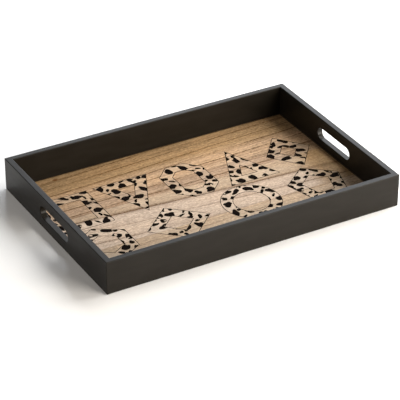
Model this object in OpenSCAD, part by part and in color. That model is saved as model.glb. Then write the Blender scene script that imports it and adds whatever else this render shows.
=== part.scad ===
// Rectangular wooden serving tray with two finger slots.
// Four painted wall boards meet in mitres and are held by brads. A veneered base panel sits in a
// rebate that runs round the underside of the walls, and pins hold it up against the shoulder.
// +X runs along the tray, +Y to its back, +Z up. The origin is the middle of the underside.

/* [Tray] */
// Overall length of the tray
tray_length = 450; // [380:5:520]
// Overall width of the tray
tray_width = 305; // [240:5:360]
// Height of the walls
wall_height = 49; // [44:1:70]
// Thickness of the wall boards
wall_thickness = 9; // [8.5:0.5:12]
// Radius that eases every painted edge
edge_radius = 1; // [0.6:0.1:1.2]

/* [Finger slots] */
// Length of each slot, from end to end
slot_length = 83; // [70:1:110]
// Height of each slot
slot_height = 18.5; // [16:0.5:20]
// Height of the slot's centre line above the underside
slot_centre_z = 24.5; // [22:0.5:28]

/* [Base panel] */
// How far the rebate is cut into the walls
rebate_depth = 5; // [4:0.5:5]
// Height of the rebate's shoulder above the underside
rebate_height = 4; // [3.8:0.1:6]
// Gap all round between the panel and the rebate
panel_clearance = 0.25; // [0.1:0.05:0.5]
// Thickness of the face veneer that the staves are cut from
stave_thickness = 0.6; // [0.4:0.1:0.8]
// Thickness of the plywood core
core_thickness = 2.6; // [2:0.1:2.6]
// Thickness of the plain veneer under the core
backing_thickness = 0.4; // [0.3:0.1:0.5]
// Where the back stave meets the middle one, measured from the tray's centre line
back_seam_y = 29; // [10:1:50]
// Where the middle stave meets the front one, measured from the tray's centre line
front_seam_y = -58.5; // [-80:0.5:-40]

/* [Fixings] */
// Length of a corner brad
brad_length = 22; // [18:1:30]
// Diameter of a corner brad's shank
brad_diameter = 1.2; // [1:0.1:1.6]
// Depth of a brad's head below the painted face
brad_setting = 1; // [0.8:0.1:1.5]
// Heights of the two brads in each corner
brad_heights = [13, 36]; // [8:1:40]
// Length of a base pin
pin_length = 12; // [8:1:16]
// Diameter of a base pin's shank
pin_diameter = 0.9; // [0.7:0.1:1.1]
// Number of pins along each long wall
long_wall_pins = 5; // [3:1:8]
// Distance from the end of a finger slot to the nearest pin below it
pin_slot_distance = 20; // [10:1:25]

/* [Hidden] */
$fn = 64;

half_length = tray_length / 2;
half_width = tray_width / 2;

// Below the shoulder a wall is only this thick.
lip_width = wall_thickness - rebate_depth;

// The layers of the panel, from the shoulder down.
panel_length = tray_length - 2 * (lip_width + panel_clearance);
panel_width = tray_width - 2 * (lip_width + panel_clearance);
core_top_z = rebate_height - stave_thickness;
backing_top_z = core_top_z - core_thickness;
panel_bottom_z = backing_top_z - backing_thickness;

// Nails: the first three values are in shank diameters.
nail_head_diameter = 1.7;
nail_point_length = 1.5;
nail_tip_diameter = 0.2;
brad_head_thickness = 0.8;
pin_head_thickness = 0.3;

// The pins run up the middle of the rebate's shoulder, and start this far from its corners.
pin_inset = lip_width + rebate_depth / 2;
pin_corner_distance = 22;

// How far a cut runs past the face that it opens.
past = 1;

paint = [0.23, 0.22, 0.21];
steel = [0.62, 0.62, 0.64];
stave_colours = [[0.77, 0.63, 0.46], [0.86, 0.75, 0.61], [0.80, 0.65, 0.49]];

// A rectangle from the origin whose four corners are eased.
module eased_rectangle(size, r = edge_radius) {
    translate([r, 0]) square([size.x - 2 * r, size.y]);
    translate([0, r]) square([size.x, size.y - 2 * r]);
    for (x = [r, size.x - r], y = [r, size.y - r])
        translate([x, y]) circle(r);
}

// Section of a wall: x runs from the outer face to the inner face, y up.
module wall_section() {
    eased_rectangle([lip_width, wall_height]);
    translate([0, rebate_height])
        eased_rectangle([wall_thickness, wall_height - rebate_height]);
}

// What a mitred wall may fill in plan: it lies along X with its outer face at -offset.
module mitre_block(length, offset) {
    depth = wall_thickness + past;
    linear_extrude(wall_height)
        polygon([
            [-length / 2, -offset], [length / 2, -offset],
            [length / 2 - depth, depth - offset], [depth - length / 2, depth - offset]
        ]);
}

// A wall with its rebate and mitres, lying along X with its outer face at -offset.
module plain_wall(length, offset) {
    intersection() {
        translate([-length / 2, -offset, 0])
            rotate([90, 0, 90])
                linear_extrude(length) wall_section();
        mitre_block(length, offset);
        translate([-length / 2, -offset, 0])
            linear_extrude(wall_height) eased_rectangle([length, 2 * offset]);
    }
}

// Half of the slot's outline through the wall: straight, and flared round at both faces.
module slot_profile() {
    r = slot_height / 2;
    square([r, wall_thickness]);
    for (side = [0, 1])
        translate([r, side * wall_thickness])
            mirror([0, side, 0])
                difference() {
                    translate([-past, -past]) square([edge_radius + past, edge_radius + past]);
                    translate([edge_radius, edge_radius]) circle(edge_radius);
                }
}

// The cut for one finger slot, through a wall that lies along X with its outer face at -offset.
module slot_cut(offset) {
    reach = (slot_length - slot_height) / 2;
    translate([0, -offset, slot_centre_z])
        rotate([-90, 0, 0]) {
            for (side = [-1, 1])
                translate([side * reach, 0, 0]) rotate_extrude() slot_profile();
            translate([-reach, 0, 0])
                rotate([90, 0, 90])
                    linear_extrude(2 * reach) {
                        slot_profile();
                        mirror([1, 0, 0]) slot_profile();
                    }
        }
}

module end_wall() {
    rotate([0, 0, -90])
        difference() {
            plain_wall(tray_width, half_length);
            slot_cut(half_length);
        }
}

// A headed nail with its head at the origin, driven along +Z.
module nail(length, diameter, head_thickness) {
    point = diameter * nail_point_length;
    cylinder(d = diameter * nail_head_diameter, h = head_thickness);
    cylinder(d = diameter, h = length - point);
    translate([0, 0, length - point])
        cylinder(d1 = diameter, d2 = diameter * nail_tip_diameter, h = point);
}

// All the corner brads: each goes through an end board's mitre into the end of a long board.
module brads() {
    for (side = [-1, 1], end = [-1, 1], z = brad_heights)
        translate([
            end * (half_length - brad_setting),
            side * (half_width - wall_thickness / 2), z
        ])
            rotate([0, -90 * end, 0])
                nail(brad_length, brad_diameter, brad_head_thickness);
}

// The pins of a long wall are spread evenly, and those of an end wall keep clear of its slot.
last_pin_x = half_length - pin_inset - pin_corner_distance;
last_pin_y = half_width - pin_inset - pin_corner_distance;
long_wall_pin_x = [for (i = [0 : long_wall_pins - 1]) (2 * i / (long_wall_pins - 1) - 1) * last_pin_x];
end_wall_pin_y = [for (side = [-1, 1], y = [slot_length / 2 + pin_slot_distance, last_pin_y]) side * y];

// All the base pins: each goes up through the panel into the shoulder of a wall.
module pins() {
    for (side = [-1, 1]) {
        for (x = long_wall_pin_x)
            translate([x, side * (half_width - pin_inset), panel_bottom_z])
                nail(pin_length, pin_diameter, pin_head_thickness);
        for (y = end_wall_pin_y)
            translate([side * (half_length - pin_inset), y, panel_bottom_z])
                nail(pin_length, pin_diameter, pin_head_thickness);
    }
}

// A layer of the base panel from y = low to y = high, bored for the pins.
module layer(low, high, bottom_z, thickness) {
    difference() {
        translate([-panel_length / 2, low, bottom_z])
            cube([panel_length, high - low, thickness]);
        pins();
    }
}

module stave(low, high) {
    layer(low, high, core_top_z, stave_thickness);
}

module front_board() {
    color(paint)
        difference() {
            plain_wall(tray_length, half_width);
            brads();
            pins();
        }
}

module back_board() {
    color(paint)
        difference() {
            rotate([0, 0, 180]) plain_wall(tray_length, half_width);
            brads();
            pins();
        }
}

module left_end_board() {
    color(paint)
        difference() {
            end_wall();
            brads();
            pins();
        }
}

module right_end_board() {
    color(paint)
        difference() {
            rotate([0, 0, 180]) end_wall();
            brads();
            pins();
        }
}

module back_stave() {
    color(stave_colours[0]) stave(back_seam_y, panel_width / 2);
}

module middle_stave() {
    color(stave_colours[1]) stave(front_seam_y, back_seam_y);
}

module front_stave() {
    color(stave_colours[2]) stave(-panel_width / 2, front_seam_y);
}

module plywood_core() {
    color([0.80, 0.68, 0.50])
        layer(-panel_width / 2, panel_width / 2, backing_top_z, core_thickness);
}

module backing_veneer() {
    color([0.74, 0.60, 0.43])
        layer(-panel_width / 2, panel_width / 2, panel_bottom_z, backing_thickness);
}

module corner_brads() {
    color(steel) brads();
}

module base_pins() {
    color(steel) pins();
}

front_board();
back_board();
left_end_board();
right_end_board();
back_stave();
middle_stave();
front_stave();
plywood_core();
backing_veneer();
corner_brads();
base_pins();
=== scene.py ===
"""Looks for a painted serving tray with a veneered floor that carries a printed motif.

The CAD nodes keep their shapes and get procedural paint, wood and metal. The print is thin ink film:
two rows of outlined geometric figures, filled with animal spots, on a pale wash.
Lengths are in metres in the studio, and in millimetres on the tray.
"""

import math
import random

import bmesh
import bpy
from mathutils import Matrix, Vector
from mathutils.geometry import delaunay_2d_cdt


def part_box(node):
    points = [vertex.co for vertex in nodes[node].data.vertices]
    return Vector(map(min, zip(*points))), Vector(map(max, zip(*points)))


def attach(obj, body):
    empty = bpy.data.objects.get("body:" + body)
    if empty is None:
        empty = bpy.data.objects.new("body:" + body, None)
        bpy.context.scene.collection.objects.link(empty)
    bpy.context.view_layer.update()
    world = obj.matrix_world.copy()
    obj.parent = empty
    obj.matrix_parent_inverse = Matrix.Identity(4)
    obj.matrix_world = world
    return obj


MM = 0.001

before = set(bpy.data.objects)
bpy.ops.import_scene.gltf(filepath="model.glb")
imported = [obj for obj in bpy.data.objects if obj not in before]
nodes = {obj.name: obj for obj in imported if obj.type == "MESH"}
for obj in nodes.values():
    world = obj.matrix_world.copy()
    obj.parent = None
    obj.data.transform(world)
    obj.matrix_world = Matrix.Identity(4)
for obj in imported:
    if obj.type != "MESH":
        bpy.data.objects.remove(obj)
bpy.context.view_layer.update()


# ---------------------------------------------------------------- camera, lights and floor

CAMERA_AZIMUTH = math.radians(-29.73)
CAMERA_ELEVATION = math.radians(31.22)
CAMERA_ROLL = math.radians(0.18)
CAMERA_DISTANCE = 2.848
CAMERA_LENS = 185.4
# How far the aim lies from the tray's origin, to the camera's right and up.
CAMERA_AIM = (-0.96 * MM, -4.21 * MM)

# The floor is a disc, and the light panels stand round it.
FLOOR_RADIUS = 2.0
FLOOR_SIDES = 96
FLOOR_COLOUR = (0.9, 0.9, 0.9)
FLOOR_ROUGHNESS = 0.35
# The room is bright at the horizon and dim overhead. It turns from one to the other between two
# heights of the direction that it is seen in, where 0 is level and 1 is straight up.
ROOM_COLOUR = (1, 0.97, 0.93)
ROOM_HORIZON, ROOM_OVERHEAD = 0.85, 0.04
ROOM_HEIGHTS = (0.07, 0.18)
PANEL_DISTANCE = 2.0
WARM, NEUTRAL, COOL = (1.0, 0.93, 0.84), (1.0, 0.98, 0.94), (0.88, 0.93, 1.0)
# Each panel: its azimuth and elevation in degrees, its size in metres, its power in watts and its
# colour. Azimuth 0 is the tray's right, and 90 its back.
PANELS = {
    "front_right": (-60, 17, (1.4, 1.0), 66, WARM),
    "right_low": (2, 23, (1.8, 0.7), 34, NEUTRAL),
    "right_high": (4, 47, (1.6, 0.9), 36, NEUTRAL),
    "back_right": (48, 25, (1.8, 0.9), 25, COOL),
    "back_left": (112, 15, (1.0, 0.8), 4, COOL),
    "left": (180, 30, (1.0, 0.8), 11, WARM),
}


def add_camera():
    """A camera that looks down at the tray from the front and a little from the left."""
    sa, ca = math.sin(CAMERA_AZIMUTH), math.cos(CAMERA_AZIMUTH)
    se, ce = math.sin(CAMERA_ELEVATION), math.cos(CAMERA_ELEVATION)
    back = Vector((sa * ce, -ca * ce, se))
    right = Vector((ca, sa, 0))
    up = back.cross(right)
    data = bpy.data.cameras.new("camera")
    data.lens = CAMERA_LENS
    data.clip_start, data.clip_end = 0.05, 50
    camera = bpy.data.objects.new("camera", data)
    turned = Matrix((right, up, back)).transposed() @ Matrix.Rotation(CAMERA_ROLL, 3, "Z")
    camera.matrix_world = turned.to_4x4()
    camera.location = back * CAMERA_DISTANCE + right * CAMERA_AIM[0] + up * CAMERA_AIM[1]
    bpy.context.scene.collection.objects.link(camera)
    bpy.context.scene.camera = camera


def add_panel(name, azimuth, elevation, size, power, colour):
    """A soft light that faces the tray."""
    a, e = math.radians(azimuth), math.radians(elevation)
    away = Vector((math.cos(a) * math.cos(e), math.sin(a) * math.cos(e), math.sin(e)))
    data = bpy.data.lights.new(name, "AREA")
    data.shape = "RECTANGLE"
    data.size, data.size_y = size
    data.energy = power
    data.color = colour
    light = bpy.data.objects.new(name, data)
    light.location = away * PANEL_DISTANCE
    light.rotation_euler = away.to_track_quat("Z", "Y").to_euler()
    bpy.context.scene.collection.objects.link(light)


def smooth_step(tree, low, high, to_low, to_high):
    """A node whose result goes smoothly from to_low at low to to_high at high."""
    node = tree.nodes.new("ShaderNodeMapRange")
    node.interpolation_type = "SMOOTHSTEP"
    limits = {"From Min": low, "From Max": high, "To Min": to_low, "To Max": to_high}
    for name, value in limits.items():
        node.inputs[name].default_value = value
    return node


def add_room():
    """A dim room whose pale wall stands low round the horizon, where the floor ends."""
    world = bpy.data.worlds.new("studio")
    world.use_nodes = True
    tree = world.node_tree
    background = tree.nodes["Background"]
    background.inputs["Color"].default_value = (*ROOM_COLOUR, 1)
    direction = tree.nodes.new("ShaderNodeTexCoord").outputs["Generated"]
    split = tree.nodes.new("ShaderNodeSeparateXYZ")
    wall = smooth_step(tree, *ROOM_HEIGHTS, ROOM_HORIZON, ROOM_OVERHEAD)
    tree.links.new(direction, split.inputs[0])
    tree.links.new(split.outputs["Z"], wall.inputs["Value"])
    tree.links.new(wall.outputs["Result"], background.inputs["Strength"])
    bpy.context.scene.world = world


def add_floor():
    """The pale disc that the tray stands on."""
    angles = [math.tau * i / FLOOR_SIDES for i in range(FLOOR_SIDES)]
    rim = [(FLOOR_RADIUS * math.cos(a), FLOOR_RADIUS * math.sin(a), 0) for a in angles]
    mesh = bpy.data.meshes.new("floor")
    mesh.from_pydata(rim, [], [tuple(range(FLOOR_SIDES))])
    floor = bpy.data.objects.new("floor", mesh)
    bpy.context.scene.collection.objects.link(floor)
    material = bpy.data.materials.new("floor_white")
    material.use_nodes = True
    shader = material.node_tree.nodes["Principled BSDF"]
    shader.inputs["Base Color"].default_value = (*FLOOR_COLOUR, 1)
    shader.inputs["Roughness"].default_value = FLOOR_ROUGHNESS
    mesh.materials.append(material)


# ---------------------------------------------------------------- node graphs

# The sockets of a Mix node that are for colours: three inputs and one output.
MIX_SHARE, MIX_FIRST, MIX_SECOND = 0, 6, 7
MIX_RESULT = 2


class Field:
    """A number or colour that varies over a surface. Arithmetic on a number adds Math nodes."""

    def __init__(self, graph, socket):
        self.graph, self.socket = graph, socket

    def _math(self, operation, *values):
        return self.graph.math(operation, self, *values)

    def __add__(self, other):
        return self._math("ADD", other)

    def __sub__(self, other):
        return self._math("SUBTRACT", other)

    def __mul__(self, other):
        return self._math("MULTIPLY", other)

    def __truediv__(self, other):
        return self._math("DIVIDE", other)

    def __rsub__(self, other):
        return self.graph.math("SUBTRACT", other, self)

    def fract(self):
        return self._math("FRACT")

    def absolute(self):
        return self._math("ABSOLUTE")

    def power(self, exponent):
        return self._math("POWER", exponent)

    def above(self, threshold):
        return self._math("GREATER_THAN", threshold)

    def rise(self, low, high, to_low=0.0, to_high=1.0):
        """A smooth step from to_low at low to to_high at high."""
        node = smooth_step(self.graph.tree, low, high, to_low, to_high)
        self.graph.feed(node.inputs["Value"], self)
        return Field(self.graph, node.outputs["Result"])


class Graph:
    """A material's node tree, with the surface point in millimetres as x, y and z."""

    def __init__(self, name):
        self.material = bpy.data.materials.new(name)
        self.material.use_nodes = True
        self.tree = self.material.node_tree
        self.shader = self.tree.nodes["Principled BSDF"]
        point = self.add("ShaderNodeTexCoord").outputs["Object"]
        split = self.add("ShaderNodeSeparateXYZ")
        self.tree.links.new(point, split.inputs[0])
        self.x, self.y, self.z = (Field(self, out) / MM for out in split.outputs)

    def add(self, kind):
        return self.tree.nodes.new(kind)

    def feed(self, socket, value):
        if isinstance(value, Field):
            self.tree.links.new(value.socket, socket)
        else:
            socket.default_value = value

    def math(self, operation, *values):
        node = self.add("ShaderNodeMath")
        node.operation = operation
        for socket, value in zip(node.inputs, values):
            self.feed(socket, value)
        return Field(self, node.outputs[0])

    def noise(self, x, y, z=0.0, detail=2.0, roughness=0.5):
        """Noise from 0 to 1 whose features are about one unit of x, y and z across."""
        join = self.add("ShaderNodeCombineXYZ")
        for socket, value in zip(join.inputs, (x, y, z)):
            self.feed(socket, value)
        node = self.add("ShaderNodeTexNoise")
        self.tree.links.new(join.outputs[0], node.inputs["Vector"])
        node.inputs["Scale"].default_value = 1.0
        node.inputs["Detail"].default_value = detail
        node.inputs["Roughness"].default_value = roughness
        return Field(self, node.outputs[0])

    def blend(self, share, first, second):
        """A colour: first where share is 0, second where it is 1."""
        node = self.add("ShaderNodeMix")
        node.data_type = "RGBA"
        self.feed(node.inputs[MIX_SHARE], share)
        for socket, value in ((MIX_FIRST, first), (MIX_SECOND, second)):
            self.feed(node.inputs[socket], value if isinstance(value, Field) else (*value, 1))
        return Field(self, node.outputs[MIX_RESULT])

    def multiply(self, colour, tint):
        node = self.add("ShaderNodeVectorMath")
        node.operation = "MULTIPLY"
        self.feed(node.inputs[0], colour)
        self.feed(node.inputs[1], tint)
        return Field(self, node.outputs[0])

    def scale_colour(self, colour, factor):
        """The colour times a number that may pass 1."""
        node = self.add("ShaderNodeVectorMath")
        node.operation = "SCALE"
        self.feed(node.inputs[0], colour)
        self.feed(node.inputs["Scale"], factor)
        return Field(self, node.outputs[0])

    def finish(self, colour, roughness, height, relief, **constants):
        """Feeds the shader, with relief as the depth in metres of a bump of height 1."""
        self.feed(self.shader.inputs["Base Color"], colour)
        self.feed(self.shader.inputs["Roughness"], roughness)
        for name, value in constants.items():
            self.shader.inputs[name.replace("_", " ")].default_value = value
        bump = self.add("ShaderNodeBump")
        bump.inputs["Distance"].default_value = relief
        self.feed(bump.inputs["Height"], height)
        self.tree.links.new(bump.outputs["Normal"], self.shader.inputs["Normal"])
        return self.material


# ---------------------------------------------------------------- paint, metal and plywood

PAINT_SPECULAR = 0.13
PAINT_COLOURS = (0.0095, 0.0078, 0.0056), (0.0118, 0.0098, 0.0074)
STEEL_COLOURS = (0.42, 0.42, 0.43), (0.62, 0.62, 0.63)
PLY_COLOURS = (0.52, 0.36, 0.20), (0.30, 0.19, 0.10)
BACKING_COLOURS = (0.46, 0.31, 0.17), (0.32, 0.19, 0.09)
# The cross ply lies in the middle of the core, and reaches this far up and down from there.
CORE_LOW, CORE_HIGH = (corner.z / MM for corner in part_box("plywood_core"))
CROSS_PLY_Z = (CORE_LOW + CORE_HIGH) / 2
CROSS_PLY_HALF = 0.45


def black_paint():
    """Satin black paint over sanded wood: a fine orange peel and slight changes of sheen."""
    g = Graph("black_paint")
    peel = g.noise(g.x / 1.6, g.y / 1.6, g.z / 1.6, detail=2.0)
    brushed = g.noise(g.x / 38, g.y / 38, g.z / 9, detail=3.0)
    speck = g.noise(g.x / 0.5, g.y / 0.5, g.z / 0.5).rise(0.70, 0.78)
    colour = g.blend(brushed.rise(0.3, 0.7), *PAINT_COLOURS)
    roughness = brushed.rise(0.25, 0.75, 0.30, 0.37) + speck * 0.06
    return g.finish(colour, roughness, peel + speck * 0.4, 0.00002, Specular_IOR_Level=PAINT_SPECULAR)


def drawn_steel():
    """Bright wire with faint lines along Z."""
    g = Graph("drawn_steel")
    drawn = g.noise(g.x / 0.3, g.y / 0.3, g.z / 4)
    colour = g.blend(drawn, *STEEL_COLOURS)
    return g.finish(colour, drawn.rise(0.2, 0.8, 0.28, 0.45), drawn, 0.00001, Metallic=1.0)


def plywood():
    """Three plies, seen only at the cut edges of the core."""
    g = Graph("plywood")
    fibre = g.noise(g.x / 20, g.y / 1.2, g.z / 0.4, detail=4.0)
    cross_ply = (g.z - CROSS_PLY_Z).absolute().rise(CROSS_PLY_HALF, CROSS_PLY_HALF + 0.05, 1.0, 0.0)
    colour = g.blend(cross_ply * 0.6, *PLY_COLOURS)
    colour = g.scale_colour(colour, fibre.rise(0.2, 0.8, 0.85, 1.1))
    return g.finish(colour, 0.75, fibre, 0.00005)


def backing():
    """Plain rotary-cut veneer, sanded and left raw."""
    g = Graph("backing_veneer")
    bend = g.noise(g.x / 160, g.y / 60, detail=3.0)
    ring = (g.y / 26 + bend * 3.2).fract()
    line = ring.rise(0.55, 0.95) * ring.rise(0.95, 1.0, 1.0, 0.0)
    fibre = g.noise(g.x / 30, g.y / 0.6, detail=4.0)
    pore = g.noise(g.x / 5, g.y / 0.25, 7.0).rise(0.68, 0.75)
    colour = g.blend(line * 0.6, *BACKING_COLOURS)
    colour = g.scale_colour(colour, fibre.rise(0.2, 0.8, 0.86, 1.1) - pore * 0.25)
    return g.finish(colour, 0.72, fibre - pore, 0.00006)


# ---------------------------------------------------------------- the floor's face veneer

BACK_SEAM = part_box("back_stave")[0].y / MM
FRONT_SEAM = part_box("front_stave")[1].y / MM
INNER_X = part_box("right_end_board")[0].x / MM
INNER_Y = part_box("back_board")[0].y / MM
TAN_WOOD = (0.345, 0.230, 0.122)
BLUSH_WOOD = (0.470, 0.325, 0.205)
ROSE_WOOD = (0.380, 0.270, 0.185)
PALE_WOOD = (0.520, 0.415, 0.330)
BUFF_WOOD = (0.432, 0.328, 0.232)
AMBER_WOOD = (0.445, 0.338, 0.238)
LATE_WOOD = (0.105, 0.050, 0.017)
KNOT_WOOD = (0.130, 0.055, 0.018)
# Colour of the painted shade in the corner between the floor and the walls.
CORNER_SHADE = (0.012, 0.008, 0.005)
VENEER_SPECULAR = 0.06
WASH_COLOUR = (0.60, 0.51, 0.41)
WASH_COVER = 0.20
INK_COLOURS = (0.0045, 0.0032, 0.0026), (0.0105, 0.0080, 0.0070)
# Tints where the slow changes of tone are at their coldest and at their warmest.
COLD_TINT, WARM_TINT = (0.96, 0.95, 0.94), (1.05, 1.01, 0.96)
# The dark band of the back stave crosses x = 0 at about this y, and the middle stave's at y = 0.
BACK_BAND_Y = 127
KNOT_X, KNOT_Y = -158, 134
KNOT_LENGTH, KNOT_WIDTH = 3.4, 2.2
# Painted shade of the right wall: between these two x the middle stave darkens to tan, and the back
# stave's rose part turns half-way to tan.
RIGHT_WALL_SHADE = (148, 188)
# Painted light: the veneer is painted lighter between these two x, towards the lit right side.
LIT_SIDE_SWEEP = (-225, 120)


def veneer_colour(g, level, middle, front):
    """The veneer's colour between its grain lines, with painted shade by the right wall, and its
    brightness with painted light, stave by stave.
    """
    # Towards the front, the back stave turns from tan through blush to rose, and the middle one
    # from buff to pale.
    # Painted shade of the right wall: both staves are painted darker towards it.
    wall_shade = g.x.rise(*RIGHT_WALL_SHADE)
    rose = g.blend(wall_shade * 0.5, ROSE_WOOD, TAN_WOOD)
    tan = g.blend(g.y.rise(82, 106), g.blend(g.y.rise(46, 66), rose, BLUSH_WOOD), TAN_WOOD)
    buff = level.rise(-3, 5)
    pale = g.blend(wall_shade, g.blend(buff, PALE_WOOD, BUFF_WOOD), TAN_WOOD)
    light = g.blend(front, g.blend(middle, tan, pale), AMBER_WOOD)

    # Painted light: it is painted lighter to the right, apart from the pale part of the middle stave,
    # which is even.
    lit_side = g.x.rise(*LIT_SIDE_SWEEP)
    pale_part = middle * (1.0 - buff)
    tone_and_painted_light = lit_side * 0.16 + pale_part * (0.04 - lit_side * 0.17) + 0.88
    return light, tone_and_painted_light


def floor_marks(g, colour):
    """The colour with the seams, a knot and painted shade in the corners added, and the seams alone."""
    seam = (g.y - BACK_SEAM).absolute().rise(0.1, 0.45, 1.0, 0.0)
    seam = seam + (g.y - FRONT_SEAM).absolute().rise(0.1, 0.45, 1.0, 0.0)
    colour = g.blend(seam * 0.5, colour, LATE_WOOD)

    # One small knot near the back left corner.
    knot = ((g.x - KNOT_X) / KNOT_LENGTH).power(2.0) + ((g.y - KNOT_Y) / KNOT_WIDTH).power(2.0)
    colour = g.blend(knot.rise(0.4, 2.4, 0.9, 0.0), colour, KNOT_WOOD)

    # Painted shade: the corner between the floor and the walls is painted dark, where shade falls.
    to_end = INNER_X - g.x.absolute()
    to_side = INNER_Y - g.y.absolute()
    corner = g.math("MINIMUM", to_end, to_side).rise(0.6, 2.4, 0.85, 0.0)
    return g.blend(corner, colour, CORNER_SHADE), seam


def floor_grain(g):
    """Colour and height of the face veneer at any point of the floor, stave by stave, with painted
    light and painted shade.
    """
    back = g.y.above(BACK_SEAM)
    front = 1.0 - g.y.above(FRONT_SEAM)
    middle = 1.0 - back - front

    def by_stave(in_back, in_middle, in_front):
        return back * in_back + middle * in_middle + front * in_front

    seed = by_stave(11.3, 27.1, 41.9)

    # Annual rings run along the tray. They climb to the right in the back of the back stave,
    # fall to the right in the middle one and wander in the front one.
    climb = back * g.y.rise(52, 90) * 0.052 - middle * 0.079
    bend = g.noise(g.x / 130, g.y / 34, seed, detail=2.0) - 0.5
    level = g.y - g.x * climb + bend * by_stave(4, 6, 22)
    ring = (level / by_stave(17.5, 29, 12) + by_stave(0.91, 0.055, 0)).fract()
    ring = ring + middle * (1.0 - ring - ring)
    strength = g.noise(g.x / 150, level / 11, seed + 3, detail=1.0).rise(0.32, 0.60, 0.25, 1.0)
    dash = g.noise(g.x / 2.6, level / 1.8, seed + 4, detail=1.0).rise(0.35, 0.60, 0.35, 1.25)
    line = ring.rise(0.85, 0.92) * ring.rise(0.955, 1.0, 1.0, 0.0) * strength * dash
    late_wood = ring.rise(0.35, 1.0) * strength
    band = (level - back * BACK_BAND_Y).absolute().rise(1.5, 7.0, 1.0, 0.0)
    band = band * by_stave(0.16, 0.30, 0)

    # Finer streaks between the rings, fibres, pores, flecks and slow changes of tone.
    streak = g.noise(g.x / 120, level / 2.2, seed + 9, detail=2.0, roughness=0.7)
    fibre = g.noise(g.x / 14, level / 1.5, seed, detail=3.0, roughness=0.75)
    fleck = g.noise(g.x / 3.4, g.y / 2.1, seed + 2, detail=2.0, roughness=0.7)
    tone = g.noise(g.x / 110, level / 26, seed + 5, detail=2.0)
    grit = g.noise(g.x / 5.0, g.y / 1.4, seed + 6, detail=1.0)
    pore = g.noise(g.x / 3.4, g.y / 1.0, seed + 7, detail=1.0).rise(0.58, 0.70)

    # How much of the late wood's colour each of them brings, stave by stave.
    share = line * by_stave(0.95, 0.45, 0.45) + late_wood * by_stave(0.13, 0.17, 0.18)
    share = share + streak.rise(0.44, 0.66) * by_stave(0.36, 0.17, 0.22)
    share = share + pore * by_stave(0.32, 0.15, 0.18) + band
    light, tone_and_painted_light = veneer_colour(g, level, middle, front)
    colour = g.blend(share, light, LATE_WOOD)
    colour = g.multiply(colour, g.blend(tone.rise(0.3, 0.7), COLD_TINT, WARM_TINT))
    value = fibre.rise(0.24, 0.76, 0.78, 1.22) * fleck.rise(0.27, 0.73, 0.82, 1.18)
    value = value * grit.rise(0.28, 0.72, 0.82, 1.18)
    # The fibres and the painted light towards the right scale the colour.
    colour = g.scale_colour(colour, value * tone_and_painted_light)
    colour, seam = floor_marks(g, colour)
    return colour, fibre * 0.6 - pore - line * 0.5 - seam


def face_veneer():
    """The bare veneer of the staves."""
    g = Graph("face_veneer")
    colour, height = floor_grain(g)
    roughness = height.rise(-1.0, 0.6, 0.70, 0.58)
    return g.finish(colour, roughness, height, 0.00005, Specular_IOR_Level=VENEER_SPECULAR)


def pale_wash():
    """The thin white wash of the print, with the veneer's grain showing through."""
    g = Graph("pale_wash")
    colour, height = floor_grain(g)
    colour = g.blend(WASH_COVER, colour, WASH_COLOUR)
    return g.finish(colour, 0.65, height, 0.00003, Specular_IOR_Level=VENEER_SPECULAR)


def print_ink():
    """Matt, nearly black ink, a little thinner in places."""
    g = Graph("print_ink")
    mottle = g.noise(g.x / 2.5, g.y / 2.5, detail=3.0)
    colour = g.blend(mottle, *INK_COLOURS)
    return g.finish(colour, mottle.rise(0.2, 0.8, 0.55, 0.70), mottle, 0.00001, Specular_IOR_Level=0.0)


# ---------------------------------------------------------------- the printed motif

# Width of a figure's band, and of the thin outlines along it.
BAND = 18.0
STROKE = 0.9
# Lowest and highest level of each film. The wash starts inside the veneer, and the ink inside the wash.
VENEER_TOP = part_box("middle_stave")[1].z / MM
WASH_FILM = (VENEER_TOP - 0.02, VENEER_TOP + 0.04)
INK_FILM = (VENEER_TOP + 0.02, VENEER_TOP + 0.10)
# Shapes of the figures, as shares of their width and height: the octagon's cut corners, and the
# pentagon's half foot and the height of its shoulders above the middle.
OCTAGON_CUT = 0.29
PENTAGON_FOOT, PENTAGON_SHOULDER = 0.31, 0.12
DISC_SIDES = 72


def rectangle(w, h):
    return [(-w / 2, -h / 2), (w / 2, -h / 2), (w / 2, h / 2), (-w / 2, h / 2)]


def triangle(w, h):
    return [(-w / 2, -h / 2), (w / 2, -h / 2), (0, h / 2)]


def inverted_triangle(w, h):
    return [(0, -h / 2), (w / 2, h / 2), (-w / 2, h / 2)]


def lozenge(w, h):
    return [(0, -h / 2), (w / 2, 0), (0, h / 2), (-w / 2, 0)]


def hexagon(w, h):
    return [(0, -h / 2), (w / 2, -h / 4), (w / 2, h / 4), (0, h / 2), (-w / 2, h / 4), (-w / 2, -h / 4)]


def octagon(w, h):
    cut = OCTAGON_CUT * w
    x, y = w / 2, h / 2
    return [
        (cut - x, -y), (x - cut, -y), (x, cut - y), (x, y - cut),
        (x - cut, y), (cut - x, y), (-x, y - cut), (-x, cut - y),
    ]


def disc(w, h):
    angles = [math.tau * i / DISC_SIDES for i in range(DISC_SIDES)]
    return [(w / 2 * math.cos(a), h / 2 * math.sin(a)) for a in angles]


def pentagon(w, h):
    foot, shoulder = PENTAGON_FOOT * w, PENTAGON_SHOULDER * h
    return [(-foot, -h / 2), (foot, -h / 2), (w / 2, shoulder), (0, h / 2), (-w / 2, shoulder)]


# Each row: the middle and height of its figures, then each figure's outline, middle and width.
MOTIF = [
    (42.5, 89, [
        (rectangle, -172.5, 77), (inverted_triangle, -81.5, 85), (octagon, 5.5, 69),
        (triangle, 88, 79), (lozenge, 168, 73),
    ]),
    (-50, 88, [(hexagon, -172.5, 77), (lozenge, -62, 98), (disc, 52, 86), (pentagon, 158, 84)]),
]
# The radii of the spots, placed from the largest to the smallest, and the gap between them.
SPOT_RADII = (6.4, 5.6, 4.8, 4.0, 3.1)
SPOT_GAP = 1.8
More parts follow.
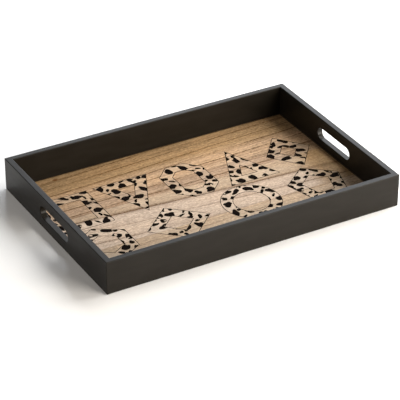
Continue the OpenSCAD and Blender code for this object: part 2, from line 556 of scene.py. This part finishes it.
# Each size of spot is tried at this many places for every square, as wide as its radius, in the area.
SPOT_TRIES = 0.2
# Spots above this radius are large: they turn any way, and this share of them opens into a rosette.
ROSETTE_RADIUS = 4.5
ROSETTE_SHARE = 0.35
# How far the spots are stretched, and how far the small ones turn from the way that they all point.
LARGE_STRETCH, SMALL_STRETCH = (1.0, 1.4), (1.0, 1.9)
SMALL_TURN = 0.6
# A rosette's pale heart: its size and its distance from the middle, as shares of the spot's radius.
HEART_SIZE, HEART_SHIFT = (0.28, 0.38), (0.4, 1.0)
HEART_STRETCH = 1.25
# Each figure's spots are drawn at random from this seed plus the figure's number.
FIRST_SEED = 100
# How many waves run round a spot's edge to give it lobes, and how deep they are.
SPOT_WAVES = (2, 3, 4, 5)
WAVE_DEPTHS = (0.1, 0.42)
# A spot's edge has this many points for each millimetre of its radius, but no fewer than these.
EDGE_POINTS, FEWEST_POINTS = 6, 14
# The triangulation keeps the cells inside the polygons, and merges points that are this near.
CELLS_INSIDE = 1
MERGE_DISTANCE = 1e-5
# Faces that turn by less than this angle from one to the next are joined.
FLAT_ANGLE = 0.001


def inset(outline, distance):
    """A convex outline, anticlockwise, with every side moved in by the distance."""
    points = [Vector(p) for p in outline]
    lines = []
    for a, b in zip(points, points[1:] + points[:1]):
        along = (b - a).normalized()
        lines.append((a + Vector((-along.y, along.x)) * distance, along))
    result = []
    for (p, u), (q, v) in zip([lines[-1]] + lines[:-1], lines):
        t = (q - p).cross(v) / u.cross(v)
        result.append(p + u * t)
    return [tuple(p) for p in result]


def blob(rng, centre, radius, stretch, turn):
    """An irregular spot with blunt lobes."""
    waves = [(k, rng.uniform(*WAVE_DEPTHS) / k, rng.uniform(0, math.tau)) for k in SPOT_WAVES]
    count = max(FEWEST_POINTS, round(radius * EDGE_POINTS))
    points = []
    for i in range(count):
        a = math.tau * i / count
        r = radius * (1 + sum(size * math.cos(k * a + phase) for k, size, phase in waves))
        x, y = r * math.cos(a) * stretch, r * math.sin(a) / stretch
        points.append((
            centre[0] + x * math.cos(turn) - y * math.sin(turn),
            centre[1] + x * math.sin(turn) + y * math.cos(turn),
        ))
    return points


def animal_spots(rng, w, h):
    """Spots over a w by h area: dark shapes, and the pale hearts that open some into rosettes."""
    dark, pale, placed = [], [], []
    heading = rng.uniform(0, math.pi)
    for radius in SPOT_RADII:
        large = radius > ROSETTE_RADIUS
        for _ in range(round(SPOT_TRIES * w * h / radius ** 2)):
            centre = (rng.uniform(-w / 2, w / 2), rng.uniform(-h / 2, h / 2))
            if any(math.dist(centre, c) < radius + r + SPOT_GAP for c, r in placed):
                continue
            placed.append((centre, radius))
            if large:
                stretch = rng.uniform(*LARGE_STRETCH)
                turn = rng.uniform(0, math.pi)
            else:
                stretch = rng.uniform(*SMALL_STRETCH)
                turn = heading + rng.uniform(-SMALL_TURN, SMALL_TURN)
            dark.append(blob(rng, centre, radius, stretch, turn))
            if large and rng.random() < ROSETTE_SHARE:
                side = rng.uniform(0, math.tau)
                shift = radius * rng.uniform(*HEART_SHIFT)
                heart = (centre[0] + shift * math.cos(side), centre[1] + shift * math.sin(side))
                pale.append(blob(rng, heart, radius * rng.uniform(*HEART_SIZE), HEART_STRETCH, side))
    return dark, pale


def film(name, regions, wanted, levels, offset, material):
    """A thin closed film. regions lists polygons, and wanted says whether a cell that lies in
    a given set of them is part of the film."""
    points, faces = [], []
    for polygon in regions:
        faces.append(list(range(len(points), len(points) + len(polygon))))
        points += [Vector(p) for p in polygon]
    corners, _, cells, _, _, origins = delaunay_2d_cdt(points, [], faces, CELLS_INSIDE, MERGE_DISTANCE)
    bm = bmesh.new()
    low, high = levels
    verts = [bm.verts.new(((p.x + offset[0]) * MM, (p.y + offset[1]) * MM, high * MM)) for p in corners]
    for cell, inside in zip(cells, origins):
        if wanted(set(inside)):
            bm.faces.new([verts[i] for i in cell])
    bmesh.ops.delete(bm, geom=[v for v in bm.verts if not v.link_faces], context="VERTS")
    bmesh.ops.dissolve_limit(bm, angle_limit=FLAT_ANGLE, verts=bm.verts, edges=bm.edges)
    bmesh.ops.triangulate(bm, faces=bm.faces)
    top = bmesh.ops.extrude_face_region(bm, geom=bm.faces)
    moved = [v for v in top["geom"] if isinstance(v, bmesh.types.BMVert)]
    bmesh.ops.translate(bm, verts=moved, vec=(0, 0, (low - high) * MM))
    bmesh.ops.recalc_face_normals(bm, faces=bm.faces)
    mesh = bpy.data.meshes.new(name)
    bm.to_mesh(mesh)
    bm.free()
    mesh.materials.append(material)
    piece = bpy.data.objects.new(name, mesh)
    bpy.context.scene.collection.objects.link(piece)
    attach(piece, "root")


def add_figure(index, kind, centre, size, ink, wash):
    """One outlined figure: a band of wash, its two thin outlines and the spots between them."""
    outline = kind(*size)
    rings = [inset(outline, d) if d else outline for d in (0, STROKE, BAND - STROKE, BAND)]
    name = f"print_{index}_{kind.__name__}"

    def washed(inside):
        return inside == {0}

    film(name + "_wash", [rings[0], rings[3]], washed, WASH_FILM, centre, wash)

    dark, pale = animal_spots(random.Random(FIRST_SEED + index), *size)
    # The film's regions are the four rings, then the dark spots, then the pale hearts.
    first_dark = len(rings)
    first_pale = first_dark + len(dark)

    def inked(inside):
        if 0 not in inside or 3 in inside:
            return False
        if 1 not in inside or 2 in inside:
            return True
        spotted = any(first_dark <= i < first_pale for i in inside)
        return spotted and not any(i >= first_pale for i in inside)

    film(name + "_ink", rings + dark + pale, inked, INK_FILM, centre, ink)


def add_print():
    ink, wash = print_ink(), pale_wash()
    index = 0
    for middle_y, height, figures in MOTIF:
        for kind, middle_x, width in figures:
            index += 1
            add_figure(index, kind, (middle_x, middle_y), (width, height), ink, wash)


# ---------------------------------------------------------------- putting it together

def dress(names, material):
    for name in names:
        mesh = nodes[name].data
        mesh.materials.clear()
        mesh.materials.append(material)


bpy.context.scene.view_settings.view_transform = "Standard"
add_camera()
add_room()
add_floor()
for name, panel in PANELS.items():
    add_panel(name, *panel)

dress(["front_board", "back_board", "left_end_board", "right_end_board"], black_paint())
dress(["back_stave", "middle_stave", "front_stave"], face_veneer())
dress(["plywood_core"], plywood())
dress(["backing_veneer"], backing())
dress(["corner_brads", "base_pins"], drawn_steel())
add_print()
